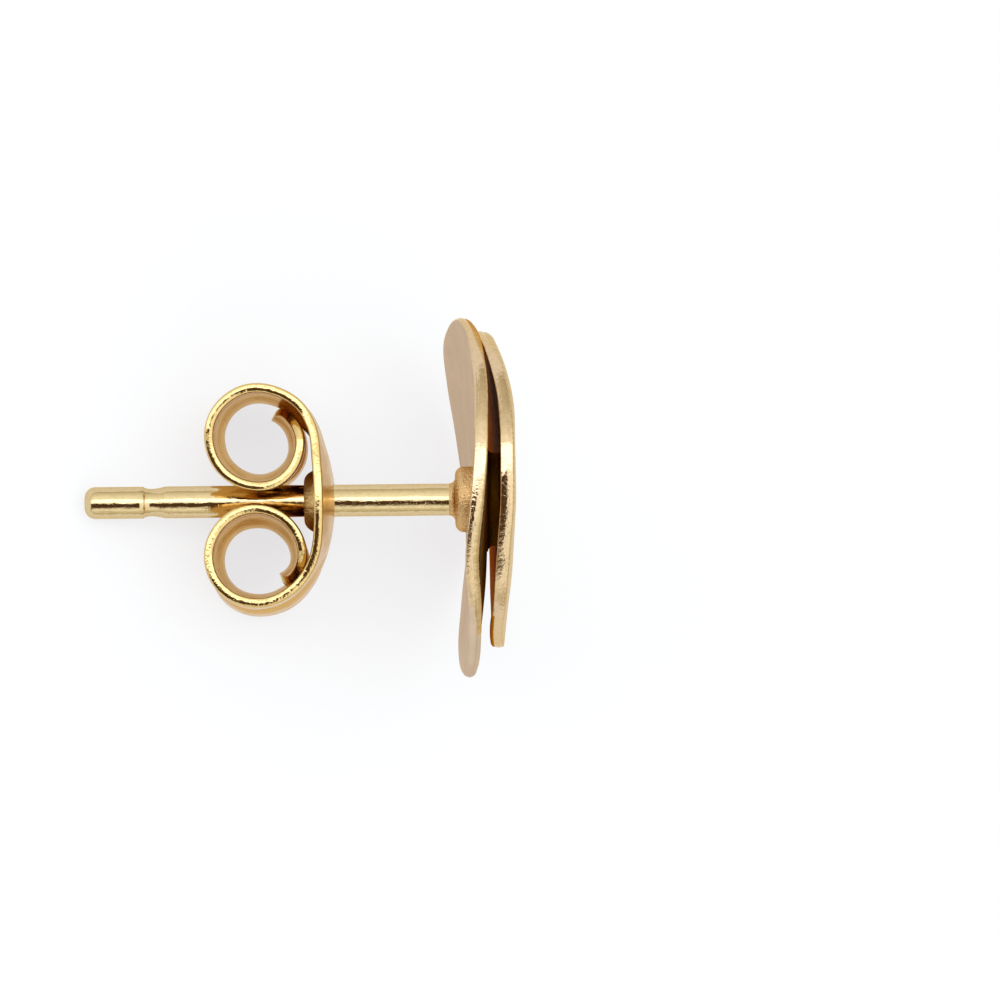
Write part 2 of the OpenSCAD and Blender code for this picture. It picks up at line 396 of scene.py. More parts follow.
def polished_gold(name, colour, wear, run, filed):
    """18 ct gold, filed and polished on a wheel: a mirror with fine scratches that break up
    the edges of what it reflects. wear is how worn it is, from 0 to 1, run gives the scratches
    to the millimetre along each axis, and filed is where its file marks were left in. A quarter
    of their depth stays in the rest as well."""
    finish, tree = new_finish(name)
    going = add_node(
        tree,
        "ShaderNodeVectorMath",
        {"operation": "DOT_PRODUCT", 1: filed.direction},
        {0: stud_place(tree)},
    )
    left_in = add_node(
        tree,
        "ShaderNodeMapRange",
        {"From Min": filed.smooth_from, "From Max": filed.filed_from, "To Min": 0.25},
        {"Value": going.outputs["Value"]},
    )
    waves = Marks((1.1,) * 3, 0.02 * wear, detail=1)
    dents = Marks(tuple(0.45 * r for r in run), 0.007 * wear, waver=0.6, low=0.5, high=0.68)
    scratches = Marks(run, 0.005 * wear, detail=4, rough=0.65)
    pits = Marks((8.0,) * 3, 0.004 * wear, detail=3, rough=0.6)
    file_marks = Marks((9.0,) * 3, filed.depth, rough=0.6, share=left_in)
    *_, pitted, _, relief = press_marks(tree, waves, dents, scratches, pits, file_marks)
    tone = Blend(pitted, 0.45, 0.75, colour, shade_of(colour, 0.88))
    roughness = Blend(pitted, 0.35, 0.75, 0.05, 0.05 + 0.12 * wear)
    show_metal(tree, WARM_GLANCE, *blend_looks(tree, tone, roughness), relief)
    return finish


def rolled_gold(name, colour):
    """18 ct gold sheet as it comes from the rolls and the press: bright but a little soft, with
    faint lines along the strip that smear what it reflects."""
    finish, tree = new_finish(name)
    roll_lines = Marks((1.6, 1.6, 14.0), 0.007, detail=3, rough=0.6)
    clouds = Marks((1.6,) * 3, 0.012)
    lined, clouded, relief = press_marks(tree, roll_lines, clouds)
    tone = Blend(lined, 0.35, 0.65, shade_of(colour, 0.93), colour)
    roughness = Blend(clouded, 0.35, 0.65, 0.17, 0.27)
    show_metal(tree, SHEET_GLANCE, *blend_looks(tree, tone, roughness), relief)
    return finish


def satin_gold(name, colour, cut, sheen=(0.36, 0.5), depth=0.7):
    """18 ct gold left from fine emery: a soft even sheen with hair lines in two directions.
    cut is how deep the lines are, sheen has the least and greatest roughness, and depth is how
    deep the colour stays where the metal is seen along its surface."""
    finish, tree = new_finish(name)
    one_way = Marks((4.0, 14.0, 3.0), 0.01 * cut, detail=3, rough=0.6)
    other_way = Marks((14.0, 5.0, 14.0), 0.01 * cut, detail=3, rough=0.6, waver=0.4)
    grit = Marks((16.0,) * 3, 0.006 * cut, detail=3, rough=0.6)
    clouds = Marks((1.1,) * 3, 0.0)
    *_, gritty, clouded, relief = press_marks(tree, one_way, other_way, grit, clouds)
    tone = Blend(clouded, 0.35, 0.65, shade_of(colour, 0.92), colour)
    roughness = Blend(gritty, 0.3, 0.7, *sheen)
    glance = tuple(c**depth for c in colour)
    show_metal(tree, glance, *blend_looks(tree, tone, roughness), relief)
    return finish


def brushed_gold(name, colour, hub, strokes, covered=None):
    """18 ct gold brushed by hand from a hub outwards: straight fine grooves whose sheen opens
    into bright and dark sectors as the light goes round. hub is in the stud's own frame, and
    strokes is how many there are to the radian. covered has the colour painted on the metal under
    another disc as the shade and the reflection of gold in gold there, and the radii between which
    that painted shade gives way to the open margin."""
    finish, tree = new_finish(name)
    across = stud_place(tree, (0.0, 1.0, 1.0))
    from_hub = add_node(
        tree, "ShaderNodeVectorMath", {"operation": "SUBTRACT", 1: hub}, {0: across}
    )
    outward = add_node(tree, "ShaderNodeVectorMath", {"operation": "NORMALIZE"}, {0: from_hub})
    far = add_node(
        tree, "ShaderNodeVectorMath", {"operation": "LENGTH"}, {0: from_hub}
    ).outputs["Value"]
    # A stroke is a slice of direction, about 0.08 mm wide at the rim, that wanders a little
    # on its way out.
    stroke = add_node(
        tree, "ShaderNodeVectorMath", {"operation": "SCALE", "Scale": strokes}, {0: outward}
    )
    drift = add_node(tree, "ShaderNodeCombineXYZ", {}, {"X": far})
    wandering = add_node(
        tree,
        "ShaderNodeVectorMath",
        {"operation": "MULTIPLY_ADD", 1: (0.9, 0.9, 0.9)},
        {0: drift, 2: stroke},
    )

    def on_strokes(tree, count):
        return add_node(
            tree, "ShaderNodeVectorMath", {"operation": "MULTIPLY", 1: count}, {0: wandering}
        )

    wide_grooves = Marks((0.25,) * 3, 0.03)
    grooves = Marks((1.0,) * 3, 0.022, detail=4, rough=0.6)
    _, grooved, relief = press_marks(tree, wide_grooves, grooves, place_of=on_strokes)
    burrs = Marks((12.0,) * 3, 0.004)
    _, relief = press_marks(tree, burrs, under=relief)
    tone = Blend(grooved, 0.35, 0.65, shade_of(colour, 0.8), colour)
    open_colour, open_rough = blend_looks(tree, tone, Blend(grooved, 0.3, 0.7, 0.24, 0.36))
    if not covered:
        show_metal(tree, WARM_GLANCE, open_colour, open_rough, relief)
        return finish
    # Under the other disc the colour and its glance are painted darker and deeper, as the shade and the
    # reflection of gold in gold between the discs.
    shade_under_disc, (covered_to, open_from) = covered
    hidden = add_node(
        tree,
        "ShaderNodeMapRange",
        {"From Min": open_from, "From Max": covered_to},
        {"Value": far},
    )
    all_colour = add_node(
        tree,
        "ShaderNodeMix",
        {"data_type": "RGBA", MIX_B: (*shade_under_disc, 1.0)},
        {0: hidden, MIX_A: open_colour},
    ).outputs[MIX_COLOUR]
    # Nothing has worn the covered metal smooth.
    all_rough = add_node(
        tree, "ShaderNodeMath", {"operation": "MULTIPLY_ADD", 1: 0.25}, {0: hidden, 2: open_rough}
    )
    show_metal(tree, shade_under_disc, all_colour, all_rough, relief)
    return finish


# Discs

DiscForm = namedtuple("DiscForm", "rim curve margin lift sheet")
AROUND = 360
FACE_RINGS = 34
CORNER_RINGS = 4
EDGE_RINGS = 6
EDGE_CROWN = 0.02
RING_CROWDING = 1.3


def through(p, q, r, s, f):
    """Smooth curve from q to r, with p and s on either side."""
    return q + 0.5 * f * (r - p + f * (2 * p - 5 * q + 4 * r - s + f * (3 * q - 3 * r + s - p)))


def rim_value(rows, column, angle):
    """Smooth closed curve through a column of a rim table."""
    n = len(rows)
    t = angle * n / 360
    i = math.floor(t)
    near = [getattr(rows[(i + k) % n], column) for k in (-1, 0, 1, 2)]
    return through(*near, t - i)


def disc_point(form, angle, radius, share, depth):
    """Place of a disc's point at a share of its radius and a depth through its sheet."""
    past = max(0.0, share - form.margin) / (1 - form.margin)
    set_back = rim_value(form.rim, "bend", angle) * share**form.curve
    set_back += rim_value(form.rim, "margin", angle) * past**2
    up = share * radius * math.sin(math.radians(angle))
    left = -share * radius * math.cos(math.radians(angle))
    along = form.lift + depth - set_back
    along += ripple((up, left, 0), size=1.6, height=0.03, seed=form.lift) * min(1, 2 * share)
    return along, up, left


def disc_section(form, radius, edge, back_edge):
    """Share, depth and zone of each ring, from the middle of the back round to the front. The
    rings of the back crowd a little towards the rim, and those of the front to the middle."""
    rings = []
    inner = 1 - back_edge / radius
    for k in range(FACE_RINGS):
        rings.append((inner * (1 - (1 - (k + 1) / FACE_RINGS) ** RING_CROWDING), 0.0, "back"))
    for k in range(1, CORNER_RINGS + 1):
        t = math.pi / 2 * k / CORNER_RINGS
        share = 1 - back_edge / radius * (1 - math.sin(t))
        rings.append((share, back_edge * (1 - math.cos(t)), "back_corner"))
    flat = form.sheet - back_edge - edge
    for k in range(1, EDGE_RINGS + 1):
        crown = EDGE_CROWN * math.sin(math.pi * k / EDGE_RINGS) / radius
        rings.append((1 + crown, back_edge + flat * k / EDGE_RINGS, "edge"))
    for k in range(1, CORNER_RINGS + 1):
        t = math.pi / 2 * k / CORNER_RINGS
        share = 1 - edge / radius * (1 - math.cos(t))
        rings.append((share, form.sheet - edge * (1 - math.sin(t)), "front_corner"))
    inner = 1 - edge / radius
    for k in range(1, FACE_RINGS):
        rings.append((inner * (1 - k / FACE_RINGS) ** RING_CROWDING, form.sheet, "front"))
    return rings


def cut_wave(angle, lift):
    """How far the rim of the disc at a lift waves outwards at an angle, as hand shears leave it."""
    turn = math.radians(angle)
    return ripple((4 * math.cos(turn), 4 * math.sin(turn), lift), size=0.9, height=0.035, seed=3)


def build_disc(name, form, edge, finishes, lips, matt):
    """A disc cut and filed by hand, as one closed sheet. lips gives how much more the back and
    the front edge are rounded at an angle, and between the two angles of matt the rim is as matt
    as the back."""
    columns = []
    for k in range(AROUND):
        angle = 360 * k / AROUND
        radius = rim_value(form.rim, "radius", angle)
        radius = min(radius, FLAT_OUT / max(0.5, math.cos(math.radians(angle - FLAT_ANGLE))))
        radius += cut_wave(angle, form.lift)
        behind, before = lips(angle)
        section = disc_section(form, radius, edge + before, edge + behind)
        columns.append([disc_point(form, angle, radius, *ring[:2]) for ring in section])
    zones = [ring[2] for ring in section]
    count = len(zones)
    points = [point for column in columns for point in column]
    middle_back = len(points)
    points.append(disc_point(form, 0, 1, 0, 0))
    points.append(disc_point(form, 0, 1, 0, form.sheet))
    finish_of_zone = {"back": 0, "back_corner": 1, "edge": 1, "front_corner": 2, "front": 2}
    faces = []
    finish_of_face = []
    for k in range(AROUND):
        here, there = k * count, (k + 1) % AROUND * count
        faces.append((middle_back, here, there))
        finish_of_face.append(0)
        for j in range(count - 1):
            faces.append((here + j, here + j + 1, there + j + 1, there + j))
            zone = zones[j + 1]
            angle = 360 * k / AROUND
            lipped = zone == "back_corner" and lips(angle)[0] > edge
            in_matt = zone != "front" and matt[0] < angle < matt[1]
            finish_of_face.append(0 if lipped or in_matt else finish_of_zone[zone])
        faces.append((here + count - 1, middle_back + 1, there + count - 1))
        finish_of_face.append(2)
    return new_piece(name, [place(*p) for p in points], faces, finishes, finish_of_face)


def back_lips(angle):
    """The back disc's edge is rounded behind along its curled lower margin, and in front at its
    top and all along its lower side."""
    behind = 0.14 * ease((angle - 208) / 22) * ease((300 - angle) / 30)
    top = 0.15 * ease((angle - 60) / 20) * ease((135 - angle) / 20)
    side = 0.11 * ease((angle - 164) / 32) * ease((310 - angle) / 20)
    return behind, top + side


def front_lips(angle):
    """The front disc's edge is rounded in front at its top, and behind at its foot."""
    behind = 0.08 * ease((angle - 215) / 25) * ease((310 - angle) / 20)
    return behind, 0.12 * ease((angle - 60) / 20) * ease((130 - angle) / 20)


# Post

SOLDER_FILLET = 0.17

# Sides of what is turned about the post's axis, and the longest steps along its outlines.
POST_SIDES = 72
POST_STEP = 0.12
JOINT_STEP = 0.1

# How far a soldered piece reaches into the sheet that it sits on, so that no gap shows.
SUNK = 0.1


def lathe(outline, around, wobble=0.0):
    """Points and faces of an outline of (along, radius) turned about the post's axis. wobble is
    how uneven the work is at a radius of 0.5 mm, and it grows with the radius squared."""
    points, faces = [], []
    for k in range(around):
        t = 2 * math.pi * k / around
        for along, radius in outline:
            spot = (along, radius * math.cos(t), radius * math.sin(t))
            r = radius + ripple(spot, size=0.7, height=wobble, seed=11) * (radius / 0.5) ** 2
            points.append((along, r * math.cos(t), r * math.sin(t)))
    count = len(outline)
    for k in range(around):
        here, there = k * count, (k + 1) % around * count
        for j in range(count - 1):
            faces.append((here + j, there + j, there + j + 1, here + j + 1))
    first, last = len(points), len(points) + 1
    points += [(outline[0][0], 0, 0), (outline[-1][0], 0, 0)]
    for k in range(around):
        here, there = k * count, (k + 1) % around * count
        faces.append((first, there, here))
        faces.append((last, here + count - 1, there + count - 1))
    return points, faces


def arc(centre_along, centre_radius, size, start, end, steps):
    """Points of an arc of an outline, with angles in degrees from the axis direction."""
    return [
        (
            centre_along + size * math.cos(math.radians(start + (end - start) * k / steps)),
            centre_radius + size * math.sin(math.radians(start + (end - start) * k / steps)),
        )
        for k in range(steps + 1)
    ]


def stretch(outline, step):
    """Adds points along an outline so that none are further apart than a step."""
    full = [outline[0]]
    for a, b in zip(outline, outline[1:]):
        count = max(1, math.ceil(math.dist(a, b) / step))
        full += [
            (a[0] + (b[0] - a[0]) * k / count, a[1] + (b[1] - a[1]) * k / count)
            for k in range(1, count + 1)
        ]
    return full


def post_outline(sizes):
    """Outline of the post: rounded tip, clutch notch, wire, solder fillet and pad."""
    notch_length, notch_depth, notch_steps, corner = 0.62, 0.065, 16, 0.24
    wire = sizes.post / MM / 2
    pad = sizes.pad / MM / 2
    pad_back = -sizes.pad_thick / MM
    nose = arc(NOSE_RADIUS - POST_LENGTH, wire - NOSE_RADIUS, NOSE_RADIUS, 180, 90, 8)
    notch = [
        (
            NOTCH_FROM_TIP + notch_length * f / notch_steps - POST_LENGTH,
            wire - notch_depth * math.sin(math.pi * (f / notch_steps) ** 0.7),
        )
        for f in range(notch_steps + 1)
    ]
    foot = arc(pad_back - SOLDER_FILLET, wire + SOLDER_FILLET, SOLDER_FILLET, 270, 360, 6)
    shoulder = arc(pad_back + corner, pad - corner, corner, 180, 90, 6)
    return stretch([*nose, *notch, *foot, *shoulder, (SUNK, pad)], POST_STEP)


def build_post(sizes, wire_finish, pad_finish):
    """The ear post with its solder pad. The pad's finish starts with the solder's fillet."""
    points, faces = lathe(post_outline(sizes), POST_SIDES, wobble=0.004)
    pad_from = -sizes.pad_thick / MM - SOLDER_FILLET
    finish_of_face = []
    for face in faces:
        middle = sum(points[i][0] for i in face) / len(face)
        finish_of_face.append(1 if middle > pad_from else 0)
    finishes = [wire_finish, pad_finish]
    return new_piece("post", [place(*p) for p in points], faces, finishes, finish_of_face)


# Clutch

# Lengths are in millimetres, and BEND_STEP is in degrees.
PLATE_WIDTH = 4.8
ARM_WIDTH = 4.0
TIP_WIDTH = 3.5
RIB_HEIGHT = 0.26
RIB_HALF_WIDTH = 1.1
RIB_START = 1.2
RIB_FULL = 2.6
PLATE_DISH = 0.29
DISH_REACH = 2.8
CLUTCH_BACK = 4.31
UPPER_LEAN = math.radians(1.2)
LOWER_LEAN = math.radians(4.8)
COLLAR_RADIUS = 0.95
COLLAR_LENGTH = 0.64
COLLAR_WALL = 0.07
HOLE_RADIUS = 0.48
TIP_ROUND = 1.4
TIP_FULLNESS = 0.985
TIP_CROWDING = 1.6
BEND_STEP = 4
STATION_STEP = 0.12
BURR_SHARPNESS = 24
COLLAR_SIDES = 64
COLLAR_STEP = 0.1
DRILL_REACH = 2.0

Station = namedtuple("Station", "x y heading gone")
SheetPoint = namedtuple("SheetPoint", "share beyond high")


def walk(arm):
    """Stations along tangent arcs that all turn left, from the middle of the plate. They crowd
    towards the inner end, where the strip rounds off."""
    at, heading, gone = Vector((0, 0)), 90.0, 0.0
    stations = []
    for bend in arm:
        long = math.radians(bend.turn) * bend.radius
        steps = math.ceil(max(bend.turn / BEND_STEP, long / STATION_STEP))
        centre = at + bend.radius * left_of(heading)
        for k in range(1, steps + 1):
            share = k / steps if bend != arm[-1] else 1 - (1 - k / steps) ** TIP_CROWDING
            now = heading + bend.turn * share
            spot = centre - bend.radius * left_of(now)
            stations.append(Station(spot.x, spot.y, now, gone + long * share))
        heading += bend.turn
        gone += long
        at = centre - bend.radius * left_of(heading)
    return stations


def left_of(heading):
    """Direction to the left of a heading in degrees."""
    return Vector((-math.sin(math.radians(heading)), math.cos(math.radians(heading))))


def pressed(gone, across, half_width):
    """How far the strip's middle is pressed towards the inside of the scrolls."""
    rib = 0.0
    if abs(across) < RIB_HALF_WIDTH:
        rib = math.cos(math.pi / 2 * across / RIB_HALF_WIDTH) ** 2
    rise = RIB_HEIGHT * ease((gone - RIB_START) / (RIB_FULL - RIB_START)) * rib
    dish = PLATE_DISH * ease(1 - gone / DISH_REACH) * (1 - (across / half_width) ** 2)
    return rise - dish


def half_width_at(gone, total):
    """Half the strip's width, which ends in a rounded tongue inside each scroll. The tongue
    keeps a little width at its very end, as a full share would close it."""
    tongue = math.sqrt(1 - TIP_FULLNESS * max(0, 1 - (total - gone) / TIP_ROUND) ** 2)
    taper = (TIP_WIDTH - ARM_WIDTH) * max(0, gone - DISH_REACH) / (total - DISH_REACH)
    wide = ARM_WIDTH + taper + (PLATE_WIDTH - ARM_WIDTH) * ease(1 - gone / DISH_REACH)
    return tongue * wide / 2


def strip_section(sheet, corner):
    """Section of the strip, sheared with a slight burr and a crowned edge. Each point has its
    share of the half width from -1 to 1, how far it lies beyond the flats, and its height in the
    sheet."""
    flats, steps, burr, crown = 26, 5, 0.012, 0.008
    half = sheet / 2
    section = []
    for side in (-1, 1):
        for k in range(flats + 1):
            share = side * (1 - 2 * k / flats)
            high = side * (half + burr * abs(share) ** BURR_SHARPNESS)
            section.append(SheetPoint(share, 0.0, high))
        turns = [math.pi / 2 * k / steps for k in range(1, steps + 1)]
        rounding = [(math.sin(t), half + burr - corner * (1 - math.cos(t))) for t in turns]
        flat = rounding[-1][1]
        rounding += [(1.0, flat * (1 - k / steps)) for k in range(1, steps)]
        mirrored = [(out, -high) for out, high in reversed(rounding)]
        for out, high in [*rounding, (1.0, 0.0), *mirrored]:
            bulge = crown * max(0.0, 1 - (high / flat) ** 2) if out == 1.0 else 0.0
            section.append(SheetPoint(-side, corner * out + bulge, side * high))
    return section


def strip_ring(station, total, side, lean, section, edge):
    """Points of the strip's section at one station."""
    half = half_width_at(station.gone, total) - edge
    out = left_of(station.heading)
    ring = []
    for share, beyond, through_sheet in section:
        across = share * half + math.copysign(beyond, share)
        offset = pressed(station.gone, share * half, half) + through_sheet
        offset += ripple((station.gone * side, across, 0), size=0.8, height=0.02, seed=5)
        shift = math.tan(lean) * across * ease(station.gone / RIB_FULL)
        ring.append(
            (
                station.x + out.x * offset - CLUTCH_BACK,
                side * (station.y + out.y * offset) + shift,
                across,
            )
        )
    return ring


def build_strip(sizes, edge_finish, sheet_finish):
    """The clutch's one strip of sheet, rolled into two scrolls."""
    sheet = sizes.strip / MM
    edge = 0.07
    section = strip_section(sheet, edge)
    rings = []
    lower, upper = walk(LOWER_ARM), walk(UPPER_ARM)
    for s in reversed(lower):
        rings.append(strip_ring(s, lower[-1].gone, -1, LOWER_LEAN, section, edge))
    start = Station(0.0, 0.0, 90.0, 0.0)
    rings.append(strip_ring(start, upper[-1].gone, 1, 0.0, section, edge))
    for s in upper:
        rings.append(strip_ring(s, upper[-1].gone, 1, UPPER_LEAN, section, edge))
    n = len(section)
    points = [place(*p) for ring in rings for p in ring]
    faces, finish_of_face = [], []
    for i in range(len(rings) - 1):
        for j in range(n):
            a, b = i * n + j, i * n + (j + 1) % n
            faces.append((a, b, b + n, a + n))
            on_flat = section[j].beyond == 0.0 == section[(j + 1) % n].beyond
            finish_of_face.append(1 if on_flat else 0)
    faces.append(tuple(reversed(range(n))))
    faces.append(tuple(range((len(rings) - 1) * n, len(rings) * n)))
    finish_of_face += [0, 0]
    finishes = [edge_finish, sheet_finish]
    return new_piece("butterfly_clutch", points, faces, finishes, finish_of_face)


def combine(piece, other, operation):
    """Cuts another closed mesh from a piece, or joins it on, and removes the other."""
    change = piece.modifiers.new(operation.lower(), "BOOLEAN")
    change.operation = operation
    change.object = other
    change.solver = "EXACT"
    change.material_mode = "TRANSFER"
    shape = piece.evaluated_get(bpy.context.evaluated_depsgraph_get())
    mesh = bpy.data.meshes.new_from_object(shape)
    piece.modifiers.clear()
    old = piece.data
    piece.data = mesh
    mesh.name = piece.name
    bpy.data.meshes.remove(old)
    used = other.data
    bpy.data.objects.remove(other)
    bpy.data.meshes.remove(used)


def build_clutch(sizes, edge_finish, sheet_finish, collar_finish):
    """The butterfly clutch: its strip, the domed collar round the hole, and the hole."""
    clutch = build_strip(sizes, edge_finish, sheet_finish)
    middle = PLATE_DISH - CLUTCH_BACK
    plate = middle - sizes.strip / MM / 2
    end = HOLE_RADIUS + COLLAR_WALL
    turns = [math.radians(6 * k) for k in range(16)]
    dome = [
        (plate - COLLAR_LENGTH * math.cos(t), end + (COLLAR_RADIUS - end) * math.sin(t))
        for t in turns
    ]
    outline = stretch([*dome, (middle, COLLAR_RADIUS)], COLLAR_STEP)
    points, faces = lathe(outline, COLLAR_SIDES, wobble=0.008)
    collar = new_piece("collar", [place(*p) for p in points], faces, [collar_finish])
    combine(clutch, collar, "UNION")
    bore = [(plate - DRILL_REACH, HOLE_RADIUS), (plate + DRILL_REACH, HOLE_RADIUS)]
    points, faces = lathe(bore, COLLAR_SIDES)
    drill = new_piece("drill", [place(*p) for p in points], faces, [sheet_finish])
    combine(clutch, drill, "DIFFERENCE")
    clutch.data.shade_smooth()
    clutch.data.set_sharp_from_angle(angle=math.radians(40))
    return clutch


# Stage

SOFTBOX_AWAY = 0.7
FLOOR_SIDE = 3.0

# Light of the tent low down and overhead, and of its dark slot.
TENT_LOW = (0.6, 0.56, 0.4)
TENT_HIGH = (1.47, 1.52, 1.46)
SLOT_TONE = (0.1, 0.055, 0.025)

# Sides of the slot: a direction, the part of the way to the sky that goes in it where the
# tent's white ends, and that part where the slot is fully dark.
SLOT_SIDES = (
    (UP, -0.02, -0.07),
    (UP, -0.76, -0.52),
    (ALONG, 0.15, 0.03),
    (ALONG, -0.75, -0.6),
    (LEFT, 0.0, 0.1),
)


def add_softbox(name, angle, size, power, colour):
    """A long softbox parallel to the post, at an angle in degrees from straight over the
    earring's side towards its top. The camera doesn't see it."""
    turn = math.radians(angle)
    outward = UP * math.sin(turn) + LEFT * math.cos(turn)
    across = UP * math.cos(turn) - LEFT * math.sin(turn)
    light = bpy.data.lights.new(name, "AREA")
    light.shape = "RECTANGLE"
    light.size, light.size_y = size
    light.energy = power
    light.color = colour
    box = bpy.data.objects.new(name, light)
    axes = Matrix((ALONG, across, outward)).transposed()
    box.matrix_world = Matrix.Translation(outward * SOFTBOX_AWAY) @ axes.to_4x4()
    box.visible_camera = False
    bpy.context.scene.collection.objects.link(box)


def build_floor(colour):
    """A light table's cast white acrylic, dull and a little cloudy. Its own glow keeps the
    shadows faint, and its base is grey because the glow gives the rest of the white."""
    finish, tree = new_finish("white_acrylic")
    where = add_node(tree, "ShaderNodeTexCoord").outputs["Object"]
    cloud = add_node(tree, "ShaderNodeTexNoise", {"Scale": 60.0, "Detail": 3.0}, {"Vector": where})
    tone = add_node(
        tree,
        "ShaderNodeMix",
        {
            "data_type": "RGBA",
            MIX_A: (*shade_of(colour, 0.29), 1.0),
            MIX_B: (*shade_of(colour, 0.32), 1.0),
        },
        {0: cloud},
    ).outputs[MIX_COLOUR]
    acrylic = add_node(
        tree,
        "ShaderNodeBsdfPrincipled",
        {
            "Roughness": 0.8,
            "Specular IOR Level": 0.1,
            "Emission Color": (*colour, 1.0),
            "Emission Strength": 0.73,
        },
        {"Base Color": tone},
    )
    add_node(tree, "ShaderNodeOutputMaterial", links={"Surface": acrylic})
    x = y = FLOOR_SIDE / 2
    corners = [(-x, -y, 0), (x, -y, 0), (x, y, 0), (-x, y, 0)]
    new_piece("floor", corners, [(0, 1, 2, 3)], [finish])


def build_sky():
    """A white tent over the table, bright overhead and dimmer towards the table. A dark slot
    in it lies just below its middle, in the stud's own frame."""
    world = bpy.data.worlds.new("studio")
    bpy.context.scene.world = world
    world.use_nodes = True
    tree = world.node_tree
    tree.nodes.clear()
    where = add_node(tree, "ShaderNodeTexCoord").outputs["Generated"]
    slot = None
    for direction, tent_at, slot_at in SLOT_SIDES:
        part = add_node(
            tree, "ShaderNodeVectorMath", {"operation": "DOT_PRODUCT", 1: direction}, {0: where}
        )
        inside = add_node(
            tree,
            "ShaderNodeMapRange",
            {"From Min": tent_at, "From Max": slot_at},
            {"Value": part.outputs["Value"]},
        )
        slot = add_node(
            tree, "ShaderNodeMath", {"operation": "MULTIPLY", 0: 1.0}, {0: slot, 1: inside}
        )
    part = add_node(
        tree, "ShaderNodeVectorMath", {"operation": "DOT_PRODUCT", 1: LEFT}, {0: where}
    )
    height = add_node(tree, "ShaderNodeMapRange", {}, {"Value": part.outputs["Value"]})
    tent = add_node(
        tree,
        "ShaderNodeMix",
        {"data_type": "RGBA", MIX_A: (*TENT_LOW, 1.0), MIX_B: (*TENT_HIGH, 1.0)},
        {0: height},
    ).outputs[MIX_COLOUR]
    tone = add_node(
        tree,
        "ShaderNodeMix",
        {"data_type": "RGBA", MIX_B: (*SLOT_TONE, 1.0)},
        {0: slot, MIX_A: tent},
    ).outputs[MIX_COLOUR]
    sky = add_node(tree, "ShaderNodeBackground", {}, {"Color": tone})
    add_node(tree, "ShaderNodeOutputWorld", links={"Surface": sky})


def build_camera():
    """The camera looks at the lying earring from its left side, with the face to the right.
    Its distance, the width that it sees and the place that it aims at are in millimetres."""
    distance, wide, roll = 200.0, 28.1, math.radians(0.6)
    aim = (0.72, -0.03, 0.0)
    right = ALONG * math.cos(roll) - UP * math.sin(roll)
    top = UP * math.cos(roll) + ALONG * math.sin(roll)
    turn = Matrix((right, top, LEFT)).transposed()
    data = bpy.data.cameras.new("camera")
    data.lens = data.sensor_width * distance / wide
    data.clip_start, data.clip_end = 0.01, 10.0
    camera = bpy.data.objects.new("camera", data)
    camera.matrix_world = Matrix.Translation(place(*aim) + LEFT * distance * MM) @ turn.to_4x4()
    bpy.context.scene.collection.objects.link(camera)
    bpy.context.scene.camera = camera


class StudPiece:
    """What the operators share: the earring's sizes and finishes in the scene."""

    bl_options = {"REGISTER", "UNDO"}

    def execute(self, context):
        self.build(context.scene.earring_sizes, context.scene.earring_finishes)
        return {"FINISHED"}


class EARRING_OT_back_disc(StudPiece, bpy.types.Operator):
    """Builds the larger disc, brushed in front and satin behind"""

    bl_idname = "earring.back_disc"
    bl_label = "Back disc"

    def build(self, sizes, finishes):
        form = DiscForm(
            BACK_RIM, curve=2.2, margin=0.8, lift=0.0, sheet=sizes.back_sheet / MM
        )
        # The brushed face under the front disc is painted in a darker, deeper gold, as the shade and the
        # reflection of gold in gold between the discs.
        covered = (shade_of(finishes.deep, 1.25), (3.9, 4.6))
        metals = [
            satin_gold("satin_gold_back", finishes.satin, cut=1.0),
            polished_gold(
                "polished_gold_back_rim",
                finishes.polished,
                wear=1.0,
                run=RIM_SCRATCHES,
                filed=RIM_FILED,
            ),
            brushed_gold(
                "brushed_gold_back",
                finishes.brushed,
                hub=(0.0, 0.2, 0.0),
                strokes=60.0,
                covered=covered,
            ),
        ]
        disc = build_disc(
            "back_disc", form, sizes.edge / MM, metals, back_lips, matt=(229, 312)
        )
        settle(disc, "stud", "stud")


class EARRING_OT_front_disc(StudPiece, bpy.types.Operator):
    """Builds the smaller disc, brushed outwards from its hub"""

    bl_idname = "earring.front_disc"
    bl_label = "Front disc"

    def build(self, sizes, finishes):
        lift = (sizes.back_sheet + sizes.disc_space) / MM
        form = DiscForm(
            FRONT_RIM, curve=1.6, margin=0.86, lift=lift, sheet=sizes.front_sheet / MM
        )
        metals = [
            # The back of the front disc faces the back disc and is painted in the darker, deeper gold of
            # the shade and the reflection of gold in gold between the discs.
            satin_gold("satin_gold_front", finishes.deep, cut=1.0, sheen=(0.4, 0.52), depth=1.0),
            polished_gold(
                "polished_gold_front_rim",
                finishes.polished,
                wear=1.0,
                run=RIM_SCRATCHES,
                filed=RIM_FILED,
            ),
            brushed_gold(
                "brushed_gold_front", finishes.brushed, hub=(0.0, 0.17, 0.0), strokes=45.0
            ),
        ]
        disc = build_disc("front_disc", form, sizes.edge / MM, metals, front_lips, matt=(0, 0))
        settle(disc, "stud", "stud")


